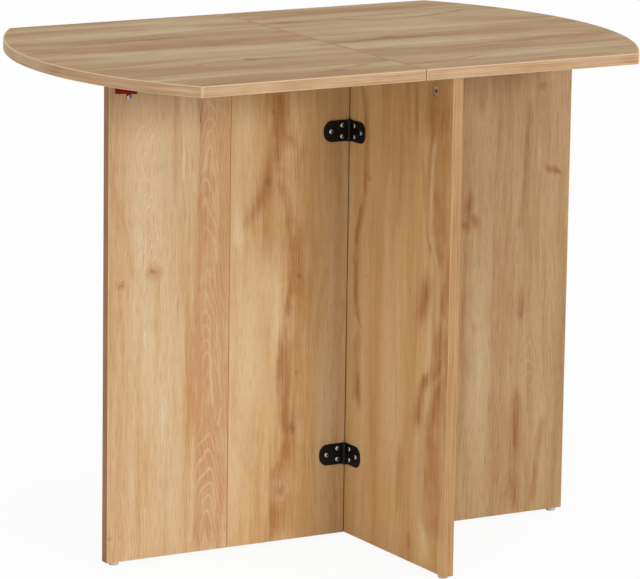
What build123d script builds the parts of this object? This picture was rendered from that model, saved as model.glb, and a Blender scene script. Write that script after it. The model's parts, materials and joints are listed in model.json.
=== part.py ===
from build123d import *
import os
from collections import namedtuple
from math import sqrt

# Drop leaf table in coated board. A fixed half top stands on a cross panel and a rib. The drop leaf
# is hinged to it at the seam and rests on a gate of two boards, hinged to the cross panel.
# Millimetres. X runs along the table with the seam at 0, Y from front to back, Z up from the floor.

# Top
top_height = 750.0
top_depth = 600.0
straight_length = 716.0
end_bow = 100.0
seam_gap = 1.2

# Boards and edging
board = 16.0
top_edging = 2.0
top_arris = 1.5
bow_corner_radius = 3.0
panel_edging = 1.0
panel_arris = 0.7
fold_arris = 0.3
glue_line = 0.02

# Base panels: where their faces stand, and how far their ends stay inside the top
cross_face = 48.0
cross_setback = 5.0
rib_front = -30.0
rib_setback = 37.0

# Gate: its outer end inside the leaf, and its fold off the middle so that it folds clear of the panel
gate_setback = 107.3
fold_offset = 0.65
gate_front = -8.0
gate_headroom = 9.0
gate_joint_gap = 0.8
fold_gap = 0.4

# Hinges, one pattern for all six
hinge_height = 32.0
hinge_reach = 41.3
hinge_end_radius = 14.0
hinge_plate = 1.6
plate_bevel = 0.4
knuckle_radius = 3.2
knuckle_clearance = 0.3
pin_radius = 1.5
pin_clearance = 0.05
pin_head_radius = 2.2
pin_head_height = 0.8
inner_screw_reach = 10.5
inner_screw_spread = 8.2
outer_screw_reach = 29.2
upper_gate_hinge_inset = 118.5
lower_gate_hinge_inset = 122.0
leaf_hinge_inset = 85.0

# Pan head screws
screw_radius = 1.7
screw_length = 12.5
screw_tip = 3.0
screw_head_radius = 3.4
screw_head_height = 1.4
screw_crown_radius = 2.4
screw_clearance = 0.05
plate_hole_clearance = 0.25

# Cam fittings and dowels
cam_radius = 7.5
cam_depth = 12.5
cam_sink = 1.5
cam_setback = 26.0
cam_clearance = 0.05
cam_slot_length = 9.0
cam_slot_width = 2.0
cam_socket_radius = 3.0
cam_socket_depth = 2.4
bolt_thread_radius = 2.5
bolt_thread_length = 10.5
bolt_shank_radius = 3.0
bolt_neck_radius = 2.0
bolt_neck_length = 4.0
bolt_head_radius = 3.2
bolt_head_length = 4.0
bolt_channel_radius = 3.6
dowel_radius = 4.0
dowel_length = 28.0
dowel_chamfer = 1.0
dowel_sink = 10.5
bore_clearance = 0.05
bore_end_gap = 0.5
cross_cam_inset = 49.0
cross_dowel_inset = 110.0
rib_top_cam_inset = 60.0
rib_end_cam_inset = 175.0
rib_end_dowel_inset = 90.0

# Rest cap on the gate
cap_width = 34.5
cap_inset = 27.2
cap_wall = 2.0
cap_drop = 29.0
cap_slant = 2.5
cap_clearance = 0.3
cap_ramp = 4.0
cap_round = 1.2
cap_screw_drop = 5.8
cap_screw_offset = 4.3
cap_tongue_radius = 3.2

# Glides
glide_height = 5.0
glide_radius = 7.6
glide_foot_radius = 6.4
glide_round = 1.0
nail_radius = 1.1
nail_length = 14.0
nail_head_radius = 2.5
nail_head_height = 0.8
nail_recess = 2.0
gate_glide_inset = 15.0
cross_glide_inset = 15.0
rib_glide_inset = 14.0

# Levels and places that follow from these
half_depth = top_depth / 2
half_length = straight_length / 2 + end_bow
underside = top_height - board
panel_foot = glide_height
gate_top = underside - gate_headroom
gate_back = gate_front + board
gate_mid = gate_front + board / 2
gate_end = gate_setback - half_length
fold_line = (gate_end + cross_face) / 2 - fold_offset
cross_mid = cross_face + board / 2
cross_back = cross_face + board
cross_half = half_depth - cross_setback
rib_end = half_length - rib_setback
rib_back = rib_front + board
rib_mid = rib_front + board / 2
pin_offset = knuckle_radius + knuckle_clearance
plate_start = sqrt(pin_offset**2 - (pin_offset - hinge_plate + plate_bevel)**2)

left, right = (-1, 0, 0), (1, 0, 0)
front, back = (0, -1, 0), (0, 1, 0)
down, up = (0, 0, -1), (0, 0, 1)

# A set of equal bores: planes that face into the wood, the radius and the depth
Bore = namedtuple("Bore", "planes radius depth")

os.makedirs("parts", exist_ok=True)


def save(part, name):
    part.label = name
    export_step(part, f"parts/{name}.step")


def facing(points, direction):
    """Planes at the points, all facing one way."""
    return [Plane(point, z_dir=direction) for point in points]


def copies(piece, planes, name):
    """A node of equal pieces, one seated on each plane."""
    with BuildPart() as group:
        with Locations(*[plane.location for plane in planes]):
            add(piece)
    save(group.part, name)


def drilled_board(low, high, bores, name):
    """A flat board between two corners, with its bores."""
    (x0, y0, z0), (x1, y1, z1) = low, high
    with BuildPart() as panel:
        with BuildSketch(Plane.XY.offset(z0)):
            with Locations(((x0 + x1) / 2, (y0 + y1) / 2)):
                Rectangle(x1 - x0, y1 - y0)
        extrude(amount=z1 - z0)
        for bore in bores:
            with BuildSketch(*bore.planes):
                Circle(bore.radius)
            extrude(amount=bore.depth, mode=Mode.SUBTRACT)
    save(panel.part, name)


def edge_strips(strips, name):
    """Upright edging strips with softened outer corners: (x range, y range, z range, outward, radius)."""
    with BuildPart() as bands:
        for (x0, x1), (y0, y1), (z0, z1), outward, radius in strips:
            with BuildSketch(Plane.XY.offset(z0)) as section:
                with Locations(((x0 + x1) / 2, (y0 + y1) / 2)):
                    Rectangle(x1 - x0, y1 - y0)
                outer = section.vertices().group_by(Axis((0, 0, 0), outward))[-1]
                fillet(outer, radius)
            extrude(amount=z1 - z0)
    save(bands.part, name)


def half_top_sketch(side, inset):
    """One half of the top, seen from above and drawn in from its edge by the inset."""
    bow_radius = (half_depth**2 + end_bow**2) / (2 * end_bow) - inset
    bow_centre = half_length - inset - bow_radius
    edge = half_depth - inset
    corner = side * (bow_centre + sqrt(bow_radius**2 - edge**2))
    seam = side * (seam_gap / 2 + inset)
    tip = side * (bow_centre + bow_radius)
    with BuildSketch(Plane.XY.offset(underside)) as outline:
        with BuildLine():
            Polyline((corner, -edge), (seam, -edge), (seam, edge), (corner, edge))
            ThreePointArc((corner, edge), (tip, 0), (corner, -edge))
        make_face()
    return outline.sketch


def half_top(side, bores, name):
    """One half of the top: the board with its bores, and the edging glued round it."""
    with BuildPart() as core:
        extrude(half_top_sketch(side, top_edging + glue_line), amount=board)
        for bore in bores:
            with BuildSketch(*bore.planes):
                Circle(bore.radius)
            extrude(amount=bore.depth, mode=Mode.SUBTRACT)
    save(core.part, f"{name}_board")
    with BuildPart() as band:
        extrude(half_top_sketch(side, 0), amount=board)
        uprights = band.edges().filter_by(Axis.Z).sort_by(Axis((0, 0, 0), (side, 0, 0)))
        fillet(uprights[2:], bow_corner_radius)
        faces = band.faces().sort_by(Axis.Z)
        fillet(faces[0].edges() + faces[-1].edges() + uprights[:2], top_arris)
        extrude(half_top_sketch(side, top_edging), amount=board, mode=Mode.SUBTRACT)
    save(band.part, f"{name}_edging")


# Hinges

outer_knuckles = [
    (-hinge_height / 2, -hinge_height / 6 - knuckle_clearance / 2),
    (hinge_height / 6 + knuckle_clearance / 2, hinge_height / 2),
]
middle_knuckle = [(-hinge_height / 6 + knuckle_clearance / 2, hinge_height / 6 - knuckle_clearance / 2)]
screw_places = [
    (inner_screw_reach, -inner_screw_spread),
    (inner_screw_reach, inner_screw_spread),
    (outer_screw_reach, 0),
]


def hinge_frame(centre, along, outward):
    """Plane across a pin: X along the plate, Y out of the board it lies on, Z along the pin."""
    return Plane(centre, x_dir=along, z_dir=Vector(along).cross(Vector(outward)))


def hinge_plate_part(frame, knuckles, name):
    """One plate of a hinge, with its share of the knuckles rolled round the pin."""
    seat = Plane(frame.origin - frame.y_dir * pin_offset, x_dir=frame.x_dir, z_dir=frame.y_dir)
    with BuildPart() as plate:
        with BuildSketch(seat) as blank:
            with Locations(((plate_start + hinge_reach) / 2, 0)):
                Rectangle(hinge_reach - plate_start, hinge_height)
            fillet(blank.vertices().group_by(Axis.X)[-1], hinge_end_radius)
        extrude(amount=hinge_plate)
        rim = plate.faces().sort_by(Axis(seat.origin, seat.z_dir))[-1].edges()
        chamfer(rim, plate_bevel)
        for low, high in knuckles:
            with BuildSketch(frame.offset(low)):
                Circle(knuckle_radius)
                with Locations((plate_start / 2 + plate_bevel, -pin_offset + hinge_plate / 2)):
                    Rectangle(plate_start + 2 * plate_bevel, hinge_plate)
            extrude(amount=high - low)
        with BuildSketch(frame.offset(-hinge_height)):
            Circle(pin_radius + pin_clearance)
        extrude(amount=2 * hinge_height, mode=Mode.SUBTRACT)
        with BuildSketch(seat):
            with Locations(*screw_places):
                Circle(screw_radius + plate_hole_clearance)
        extrude(amount=hinge_plate, mode=Mode.SUBTRACT)
    save(plate.part, name)


def hinge_pin(frame, name):
    """The pin, with a low head at each end."""
    with BuildPart() as pin:
        with BuildSketch(frame.offset(-hinge_height / 2)):
            Circle(pin_radius)
        extrude(amount=hinge_height)
        for outward in (frame.z_dir, -frame.z_dir):
            with BuildSketch(Plane(frame.origin + outward * hinge_height / 2, z_dir=outward)):
                Circle(pin_head_radius)
            extrude(amount=pin_head_height, taper=30)
    save(pin.part, name)


def screw_seats(frame):
    """Planes on the outside of a hinge plate where its screws sit."""
    places = []
    for reach, spread in screw_places:
        point = frame.origin + frame.x_dir * reach + frame.z_dir * spread
        places.append(Plane(point - frame.y_dir * (pin_offset - hinge_plate), z_dir=frame.y_dir))
    return places


def pilot_bores(frame):
    """Bores in the board under a hinge plate, for its screws."""
    planes = []
    for seat in screw_seats(frame):
        planes.append(Plane(seat.origin - seat.z_dir * hinge_plate, z_dir=-seat.z_dir))
    return Bore(planes, screw_radius + screw_clearance, screw_length - hinge_plate + bore_end_gap)


def hinge(fixed, moving, name):
    hinge_plate_part(fixed, outer_knuckles, f"{name}_fixed_plate")
    hinge_plate_part(moving, middle_knuckle, f"{name}_moving_plate")
    hinge_pin(fixed, f"{name}_pin")


gate_pin = (cross_face - pin_offset, gate_front - pin_offset)
fold_pin = (fold_line, gate_back + pin_offset)
leaf_pin_height = underside - pin_offset
gate_hinges, fold_hinges, leaf_hinges = {}, {}, {}
upper_level, lower_level = underside - upper_gate_hinge_inset, panel_foot + lower_gate_hinge_inset
for level, height in (("upper", upper_level), ("lower", lower_level)):
    corner = (*gate_pin, height)
    gate_hinges[level] = hinge_frame(corner, front, left), hinge_frame(corner, left, front)
    middle = (*fold_pin, height)
    fold_hinges[level] = hinge_frame(middle, right, back), hinge_frame(middle, left, back)
for place, depth in (("front", leaf_hinge_inset - half_depth), ("rear", half_depth - leaf_hinge_inset)):
    centre = (0, depth, leaf_pin_height)
    leaf_hinges[place] = hinge_frame(centre, right, down), hinge_frame(centre, left, down)
for kind, hinges in (("gate", gate_hinges), ("fold", fold_hinges), ("leaf", leaf_hinges)):
    for place, (fixed, moving) in hinges.items():
        hinge(fixed, moving, f"{place}_{kind}_hinge")

# Pan head screw, seated at the origin with its shank down

with BuildPart() as pan_screw:
    with BuildSketch(Plane.XZ):
        with BuildLine():
            Polyline(
                (0, screw_head_height),
                (screw_crown_radius, screw_head_height),
                (screw_head_radius, screw_head_height / 3),
                (screw_head_radius, 0),
                (screw_radius, 0),
                (screw_radius, screw_tip - screw_length),
                (0, -screw_length),
                close=True,
            )
        make_face()
    revolve(axis=Axis.Z)


def hinge_screws(frames, name):
    copies(pan_screw.part, [seat for frame in frames for seat in screw_seats(frame)], name)


hinge_screws([pair[0] for pair in gate_hinges.values()], "cross_panel_hinge_screws")
hinge_screws([pair[1] for pair in gate_hinges.values()], "gate_inner_front_hinge_screws")
hinge_screws([pair[0] for pair in fold_hinges.values()], "gate_inner_rear_hinge_screws")
hinge_screws([pair[1] for pair in fold_hinges.values()], "gate_outer_hinge_screws")
hinge_screws([pair[0] for pair in leaf_hinges.values()], "fixed_top_hinge_screws")
hinge_screws([pair[1] for pair in leaf_hinges.values()], "drop_leaf_hinge_screws")

# Where the cams, bolts and dowels sit: on the middle plane of each panel, set back from the joint

cross_cam_y = (-cross_half + cross_cam_inset, cross_half - cross_cam_inset)
cross_dowel_y = (-cross_half + cross_dowel_inset, cross_half - cross_dowel_inset)
rib_top_cam_x = (cross_back + rib_top_cam_inset, rib_end - rib_top_cam_inset)
rib_end_cam_z = (panel_foot + rib_end_cam_inset, underside - rib_end_cam_inset)
rib_end_dowel_z = (panel_foot + rib_end_dowel_inset, underside - rib_end_dowel_inset)
cam_level = underside - cam_setback

cross_bolt_points = [(cross_mid, y, underside) for y in cross_cam_y]
cross_dowel_points = [(cross_mid, y, underside) for y in cross_dowel_y]
rib_top_bolt_points = [(x, rib_mid, underside) for x in rib_top_cam_x]
rib_top_dowel_points = [(sum(rib_top_cam_x) / 2, rib_mid, underside)]
rib_end_bolt_points = [(cross_back, rib_mid, z) for z in rib_end_cam_z]
rib_end_dowel_points = [(cross_back, rib_mid, z) for z in rib_end_dowel_z]

cross_cam_seats = [Plane((cross_face, y, cam_level), x_dir=up, z_dir=left) for y in cross_cam_y]
rib_top_cam_seats = [Plane((x, rib_back, cam_level), x_dir=up, z_dir=back) for x in rib_top_cam_x]
rib_end_cam_x = cross_back + cam_setback
rib_end_cam_seats = [Plane((rib_end_cam_x, rib_back, z), x_dir=left, z_dir=back) for z in rib_end_cam_z]

# Cam housing, seated at the origin with its face up and the bolt coming in along +X

with BuildPart() as cam:
    with BuildSketch(Plane.XY.offset(-cam_depth + bore_end_gap)):
        Circle(cam_radius - cam_clearance)
    extrude(amount=cam_depth - bore_end_gap - cam_sink)
    with BuildSketch(Plane((-bolt_head_length, 0, -board / 2), z_dir=right)):
        Circle(bolt_channel_radius)
    extrude(amount=bolt_head_length + cam_radius, mode=Mode.SUBTRACT)
    with BuildSketch(Plane.XY.offset(-cam_sink)):
        Rectangle(cam_slot_length, cam_slot_width)
        Rectangle(cam_slot_width, cam_slot_length)
        Circle(cam_socket_radius)
    extrude(amount=-cam_socket_depth, mode=Mode.SUBTRACT)
copies(cam.part, cross_cam_seats, "cross_panel_cams")
copies(cam.part, rib_top_cam_seats, "rib_top_cams")
copies(cam.part, rib_end_cam_seats, "rib_end_cams")

# Cam bolt, with the joint at the origin, its thread up and its head down in the cam

bolt_head_top = -cam_setback + bolt_head_length / 2
bolt_neck_top = bolt_head_top + bolt_neck_length
with BuildPart() as cam_bolt:
    with BuildSketch(Plane.XZ):
        with BuildLine():
            Polyline(
                (0, bolt_thread_length),
                (bolt_thread_radius, bolt_thread_length),
                (bolt_thread_radius, 0),
                (bolt_shank_radius, 0),
                (bolt_shank_radius, bolt_neck_top),
                (bolt_neck_radius, bolt_neck_top),
                (bolt_neck_radius, bolt_head_top),
                (bolt_head_radius, bolt_head_top),
                (bolt_head_radius, bolt_head_top - bolt_head_length / 2),
                (bolt_neck_radius, bolt_head_top - bolt_head_length),
                (0, bolt_head_top - bolt_head_length),
                close=True,
            )
        make_face()
    revolve(axis=Axis.Z)
copies(cam_bolt.part, facing(cross_bolt_points, up), "cross_panel_cam_bolts")
copies(cam_bolt.part, facing(rib_top_bolt_points, up), "rib_top_cam_bolts")
copies(cam_bolt.part, facing(rib_end_bolt_points, left), "rib_end_cam_bolts")

# Dowel, with the joint at the origin and its short end up

with BuildPart() as dowel:
    with BuildSketch(Plane.XY.offset(dowel_sink - dowel_length)):
        Circle(dowel_radius)
    extrude(amount=dowel_length)
    chamfer(dowel.edges().filter_by(GeomType.CIRCLE), dowel_chamfer)
copies(dowel.part, facing(cross_dowel_points, up), "cross_panel_dowels")
copies(dowel.part, facing(rib_top_dowel_points, up), "rib_top_dowel")
copies(dowel.part, facing(rib_end_dowel_points, left), "rib_end_dowels")

# Glide, seated at the origin under a panel, and the nail that holds it

with BuildPart() as glide:
    with BuildSketch(Plane.XZ):
        with BuildLine():
            Polyline(
                (nail_radius + bore_clearance, 0),
                (glide_radius, 0),
                (glide_radius, glide_round - glide_height / 2),
                (glide_foot_radius + glide_round, glide_round - glide_height),
                (glide_foot_radius, -glide_height),
                (nail_head_radius + bore_clearance, -glide_height),
                (nail_head_radius + bore_clearance, -nail_recess),
                (nail_radius + bore_clearance, -nail_recess),
                close=True,
            )
        make_face()
    revolve(axis=Axis.Z)
with BuildPart() as nail:
    with BuildSketch(Plane.XZ):
        with BuildLine():
            Polyline(
                (0, nail_length - nail_radius),
                (nail_radius, nail_length - 3 * nail_radius),
                (nail_radius, -nail_recess),
                (nail_head_radius, -nail_recess),
                (nail_head_radius, -nail_recess - nail_head_height),
                (0, -nail_recess - nail_head_height),
                close=True,
            )
        make_face()
    revolve(axis=Axis.Z)
glide_points = {
    "cross_panel": [(cross_mid, s * (cross_half - cross_glide_inset), panel_foot) for s in (-1, 1)],
    "rib_panel": [(rib_end - rib_glide_inset, rib_mid, panel_foot)],
    "gate_outer": [(gate_end + gate_glide_inset, gate_mid, panel_foot)],
}
for carrier, points in glide_points.items():
    copies(glide.part, facing(points, up), f"{carrier}_glides")
    copies(nail.part, facing(points, up), f"{carrier}_glide_nails")


def nail_bores(carrier):
    return Bore(facing(glide_points[carrier], up), nail_radius + bore_clearance, nail_length)


# Bores that the cams, bolts and dowels need, in the board that takes the thread and in the panel


def thread_bores(points, direction):
    depth = bolt_thread_length + bore_end_gap
    return Bore(facing(points, direction), bolt_thread_radius + bore_clearance, depth)


def channel_bores(points, direction):
    depth = cam_setback + bolt_head_length / 2 + bore_end_gap
    return Bore(facing(points, direction), bolt_channel_radius, depth)


def dowel_sink_bores(points, direction):
    depth = dowel_sink + bore_end_gap
    return Bore(facing(points, direction), dowel_radius + bore_clearance, depth)


def dowel_bores(points, direction):
    depth = dowel_length - dowel_sink + bore_end_gap
    return Bore(facing(points, direction), dowel_radius + bore_clearance, depth)


def cam_bores(seats):
    return Bore([Plane(seat.origin, z_dir=-seat.z_dir) for seat in seats], cam_radius, cam_depth)


# Top halves

half_top(
    1,
    [
        thread_bores(cross_bolt_points + rib_top_bolt_points, up),
        dowel_sink_bores(cross_dowel_points + rib_top_dowel_points, up),
        *[pilot_bores(pair[0]) for pair in leaf_hinges.values()],
    ],
    "fixed_top",
)
half_top(-1, [pilot_bores(pair[1]) for pair in leaf_hinges.values()], "drop_leaf")

# Cross panel

band = panel_edging + glue_line
drilled_board(
    (cross_face, -cross_half + band, panel_foot),
    (cross_back, cross_half - band, underside),
    [
        cam_bores(cross_cam_seats),
        channel_bores(cross_bolt_points, down),
        dowel_bores(cross_dowel_points, down),
        thread_bores(rib_end_bolt_points, left),
        dowel_sink_bores(rib_end_dowel_points, left),
        *[pilot_bores(pair[0]) for pair in gate_hinges.values()],
        nail_bores("cross_panel"),
    ],
    "cross_panel",
)
cross_span, panel_span = (cross_face, cross_back), (panel_foot, underside)
edge_strips(
    [
        (cross_span, (-cross_half, -cross_half + panel_edging), panel_span, front, panel_arris),
        (cross_span, (cross_half - panel_edging, cross_half), panel_span, back, panel_arris),
    ],
    "cross_panel_edging",
)

# Rib panel

drilled_board(
    (cross_back, rib_front, panel_foot),
    (rib_end - band, rib_back, underside),
    [
        cam_bores(rib_top_cam_seats + rib_end_cam_seats),
        channel_bores(rib_top_bolt_points, down),
        channel_bores(rib_end_bolt_points, right),
        dowel_bores(rib_top_dowel_points, down),
        dowel_bores(rib_end_dowel_points, right),
        nail_bores("rib_panel"),
    ],
    "rib_panel",
)
rib_strip = (rib_end - panel_edging, rib_end), (rib_front, rib_back), panel_span, right, panel_arris
edge_strips([rib_strip], "rib_panel_edging")

# Gate boards

gate_span, gate_rise = (gate_front, gate_back), (panel_foot, gate_top)
inner_low, inner_high = fold_line + fold_gap / 2, cross_face - gate_joint_gap
outer_low, outer_high = gate_end, fold_line - fold_gap / 2
drilled_board(
    (inner_low + band, gate_front, panel_foot),
    (inner_high - band, gate_back, gate_top),
    [pilot_bores(pair[1]) for pair in gate_hinges.values()]
    + [pilot_bores(pair[0]) for pair in fold_hinges.values()],
    "gate_inner_panel",
)
edge_strips(
    [
        ((inner_low, inner_low + panel_edging), gate_span, gate_rise, left, fold_arris),
        ((inner_high - panel_edging, inner_high), gate_span, gate_rise, right, panel_arris),
    ],
    "gate_inner_edging",
)

cap_middle = gate_end + cap_inset
cap_foot = gate_top - cap_drop
cap_screw_x, cap_screw_z = cap_middle + cap_screw_offset, cap_foot - cap_screw_drop
cap_screw = Plane((cap_screw_x, gate_front - cap_wall, cap_screw_z), z_dir=front)
cap_pilot = Plane((cap_screw_x, gate_front, cap_screw_z), z_dir=back)
drilled_board(
    (outer_low + band, gate_front, panel_foot),
    (outer_high - band, gate_back, gate_top),
    [
        *[pilot_bores(pair[1]) for pair in fold_hinges.values()],
        Bore([cap_pilot], screw_radius + screw_clearance, screw_length - cap_wall + bore_end_gap),
        nail_bores("gate_outer"),
    ],
    "gate_outer_panel",
)
edge_strips(
    [
        ((outer_low, outer_low + panel_edging), gate_span, gate_rise, left, panel_arris),
        ((outer_high - panel_edging, outer_high), gate_span, gate_rise, right, fold_arris),
    ],
    "gate_outer_edging",
)

# Rest cap: a pad on the gate's top edge that carries the leaf, with a flange screwed to its face.
# The flange's foot slants down toward the hinge side.

cap_top = underside - cap_clearance
with BuildPart() as rest_cap:
    with BuildSketch(Plane((cap_middle - cap_width / 2, 0, 0), x_dir=back, z_dir=right)):
        with BuildLine():
            Polyline(
                (gate_front - cap_wall, cap_foot),
                (gate_front, cap_foot),
                (gate_front, gate_top),
                (gate_back, gate_top),
                (gate_back, cap_top),
                (gate_front - cap_wall, cap_top),
                close=True,
            )
        make_face()
    extrude(amount=cap_width)
    pad_ends = rest_cap.edges().filter_by(Axis.Y).group_by(Axis.Z)[-1]
    chamfer(pad_ends, length=cap_ramp / 2, length2=cap_ramp)
    nose = rest_cap.edges().filter_by(Axis.X).group_by(Axis.Z)[-1].sort_by(Axis.Y)[0]
    fillet(nose, cap_round)
    with BuildSketch(Plane((cap_screw_x, gate_front, cap_foot), x_dir=right, z_dir=front)):
        with BuildLine():
            near_end = cap_width / 2 - cap_screw_offset
            Polyline((near_end - cap_width, 0), (near_end, 0), (near_end, -cap_slant), close=True)
        make_face()
        with Locations((0, -cap_screw_drop / 2 + cap_wall / 2)):
            Rectangle(2 * cap_tongue_radius, cap_screw_drop + cap_wall)
        with Locations((0, -cap_screw_drop)):
            Circle(cap_tongue_radius)
    extrude(amount=cap_wall)
    with BuildSketch(cap_pilot):
        Circle(screw_radius + plate_hole_clearance)
    extrude(amount=-cap_wall, mode=Mode.SUBTRACT)
save(rest_cap.part, "gate_rest_cap")
copies(pan_screw.part, [cap_screw], "gate_rest_cap_screw")
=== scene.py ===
import json
import math

import bpy
from mathutils import Matrix, Vector


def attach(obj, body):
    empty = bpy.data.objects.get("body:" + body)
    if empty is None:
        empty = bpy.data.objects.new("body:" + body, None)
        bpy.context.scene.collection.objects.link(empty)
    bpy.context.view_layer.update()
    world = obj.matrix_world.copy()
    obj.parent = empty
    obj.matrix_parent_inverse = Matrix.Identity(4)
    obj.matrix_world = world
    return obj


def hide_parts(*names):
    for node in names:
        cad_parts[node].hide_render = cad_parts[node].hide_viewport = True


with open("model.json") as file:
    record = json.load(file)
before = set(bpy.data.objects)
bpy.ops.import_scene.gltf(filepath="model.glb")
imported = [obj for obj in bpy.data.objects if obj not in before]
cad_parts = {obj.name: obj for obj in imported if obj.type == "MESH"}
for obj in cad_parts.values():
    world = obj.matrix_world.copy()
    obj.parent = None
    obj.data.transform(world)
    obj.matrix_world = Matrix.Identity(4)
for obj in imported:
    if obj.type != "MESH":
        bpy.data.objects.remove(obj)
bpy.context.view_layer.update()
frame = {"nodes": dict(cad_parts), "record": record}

# Sizes are in millimetres, as in the CAD: X along the table with the seam at 0, Y to the back, Z up.
MM = 0.001


def extent(node, axis):
    """The least and the greatest place of a CAD node along an axis."""
    row = "XYZ".index(axis)
    places = [vertex.co[row] / MM for vertex in frame["nodes"][node].data.vertices]
    return min(places), max(places)


def middle(node, axis):
    """The place halfway between a CAD node's ends along an axis."""
    return sum(extent(node, axis)) / 2


# Kinds of shader and geometry node used in several places
MATH = "ShaderNodeMath"
VECTOR = "ShaderNodeVectorMath"
RANGE = "ShaderNodeMapRange"
MIX = "ShaderNodeMix"
NOISE = "ShaderNodeTexNoise"
MAPPING = "ShaderNodeMapping"
SPLIT = "ShaderNodeSeparateXYZ"
COMBINE = "ShaderNodeCombineXYZ"
BUMP = "ShaderNodeBump"
SURFACE = "ShaderNodeBsdfPrincipled"
RESULT = "ShaderNodeOutputMaterial"
MOVE = "GeometryNodeTransform"
CARVE = "GeometryNodeMeshBoolean"
CUBE = "GeometryNodeMeshCube"

# Settings of a range with a soft start and end, and of a mix of two colours with the places of its sockets
SOFT = {"interpolation_type": "SMOOTHSTEP"}
BLEND = {"data_type": "RGBA", "out": 2}
SHARE = 0
UNDER = 6
OVER = 7


def colour(code):
    """Linear colour from an sRGB hex code."""
    parts = [int(code[i:i + 2], 16) / 255 for i in (1, 3, 5)]
    return (*[p / 12.92 if p <= 0.04045 else ((p + 0.055) / 1.055) ** 2.4 for p in parts], 1.0)


def add(tree, kind, sockets=(), out=0, **settings):
    """One node, of which one output is given back. Sockets, in order or by name, take a value, an output or a
    list of outputs."""
    made = tree.nodes.new(kind)
    for key, value in settings.items():
        setattr(made, key, value)
    for key, value in sockets.items() if isinstance(sockets, dict) else enumerate(sockets):
        if isinstance(value, (bpy.types.NodeSocket, list)):
            for source in value if isinstance(value, list) else [value]:
                tree.links.new(source, made.inputs[key])
        else:
            made.inputs[key].default_value = value
    return made.outputs[out] if made.outputs else None


# Camera at the photo's angle, turned by these degrees

CAMERA_YAW = 30.05
CAMERA_PITCH = 11.76
CAMERA_ROLL = 0.83
CAMERA_PLACE = (-3223.74, -5581.86, 1720.55)
CAMERA_LENS = 250.68
SENSOR_WIDTH = 36.0

yaw, pitch, roll = (math.radians(angle) for angle in (CAMERA_YAW, CAMERA_PITCH, CAMERA_ROLL))
ahead = Vector((math.sin(yaw) * math.cos(pitch), math.cos(yaw) * math.cos(pitch), -math.sin(pitch)))
level = ahead.cross(Vector((0, 0, 1))).normalized()
above = level.cross(ahead)
across = level * math.cos(roll) + above * math.sin(roll)
upward = above * math.cos(roll) - level * math.sin(roll)
photo_camera = bpy.data.objects.new("photo_camera", bpy.data.cameras.new("photo_camera"))
photo_camera.data.sensor_width = SENSOR_WIDTH
photo_camera.data.sensor_fit = "HORIZONTAL"
photo_camera.data.lens = CAMERA_LENS
photo_camera.matrix_world = (
    Matrix.Translation(Vector(CAMERA_PLACE) * MM) @ Matrix((across, upward, -ahead)).transposed().to_4x4()
)
bpy.context.collection.objects.link(photo_camera)
bpy.context.scene.camera = photo_camera
bpy.context.scene.view_settings.view_transform = "Standard"

# Soft studio light: an even white room, a lamp in front, a fill from the left and a wide one overhead

# The room lights the table with this share of white, while the camera and reflections see it full white.
ROOM_LIGHT = 0.46
room = bpy.data.worlds.new("white_room")
room.use_nodes = True
tree = room.node_tree
tree.nodes.clear()
path = add(tree, "ShaderNodeLightPath").node.outputs
seen = add(tree, MATH, (path["Is Camera Ray"], path["Is Glossy Ray"]), operation="MAXIMUM")
seen = add(tree, MATH, (seen, path["Is Transmission Ray"]), operation="MAXIMUM")
strength = add(tree, RANGE, (seen, 0.0, 1.0, ROOM_LIGHT, 1.0))
white = add(tree, "ShaderNodeBackground", (colour("#FFFFFF"), strength))
add(tree, "ShaderNodeOutputWorld", (white,))
bpy.context.scene.world = room


def soft_lamp(name, toward, share, spread):
    """A far lamp, spread over some degrees, that adds a share of full light to a face square on to it."""
    lamp = bpy.data.objects.new(name, bpy.data.lights.new(name, "SUN"))
    lamp.data.energy = share * math.pi
    lamp.data.angle = math.radians(spread)
    lamp.rotation_euler = Vector(toward).to_track_quat("-Z", "Y").to_euler()
    bpy.context.collection.objects.link(lamp)


soft_lamp("front_softbox", toward=(-0.23, 1.0, -0.25), share=0.38, spread=14)
soft_lamp("side_fill", toward=(1.0, 0.3, -0.08), share=0.16, spread=60)
soft_lamp("overhead_softbox", toward=(0.0, 0.25, -1.0), share=0.38, spread=80)

FLOOR_REACH = 30000.0 * MM
floor_corners = [(FLOOR_REACH * x, FLOOR_REACH * y, 0) for x, y in ((-1, -1), (1, -1), (1, 1), (-1, 1))]
floor_mesh = bpy.data.meshes.new("studio_floor")
floor_mesh.from_pydata(floor_corners, [], [(0, 1, 2, 3)])
studio_floor = bpy.data.objects.new("studio_floor", floor_mesh)
bpy.context.collection.objects.link(studio_floor)


def material(name):
    """A new material and its empty node tree."""
    made = bpy.data.materials.new(name)
    made.use_nodes = True
    made.node_tree.nodes.clear()
    return made, made.node_tree


# White painted studio floor: even and dull. The camera sees it close to white, with a faint shadow left.
FLOOR_WHITENING = 0.93
floor_paint, tree = material("matt_white_studio_paint")
paint = add(tree, "ShaderNodeBsdfDiffuse", (colour("#F4F4F4"),))
glow = add(tree, "ShaderNodeEmission", (colour("#FFFFFF"), 1.0))
sight = add(tree, "ShaderNodeLightPath", out="Is Camera Ray")
whitened = add(tree, RANGE, (sight, 0.0, 1.0, 0.0, FLOOR_WHITENING))
add(tree, RESULT, (add(tree, "ShaderNodeMixShader", (whitened, paint, glow)),))
studio_floor.data.materials.append(floor_paint)

# What the prints are made of. A place on a board is given across its grain and along it.

# A band fades in and out this far to either side of its ends, and its curve has this much room to spare.
BAND_FADE = 20.0
CURVE_ROOM = 1


def millimetres(tree):
    """The piece's own coordinates in millimetres."""
    own = add(tree, "ShaderNodeTexCoord", out="Object")
    return add(tree, VECTOR, {0: own, "Scale": 1 / MM}, operation="SCALE")


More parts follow.
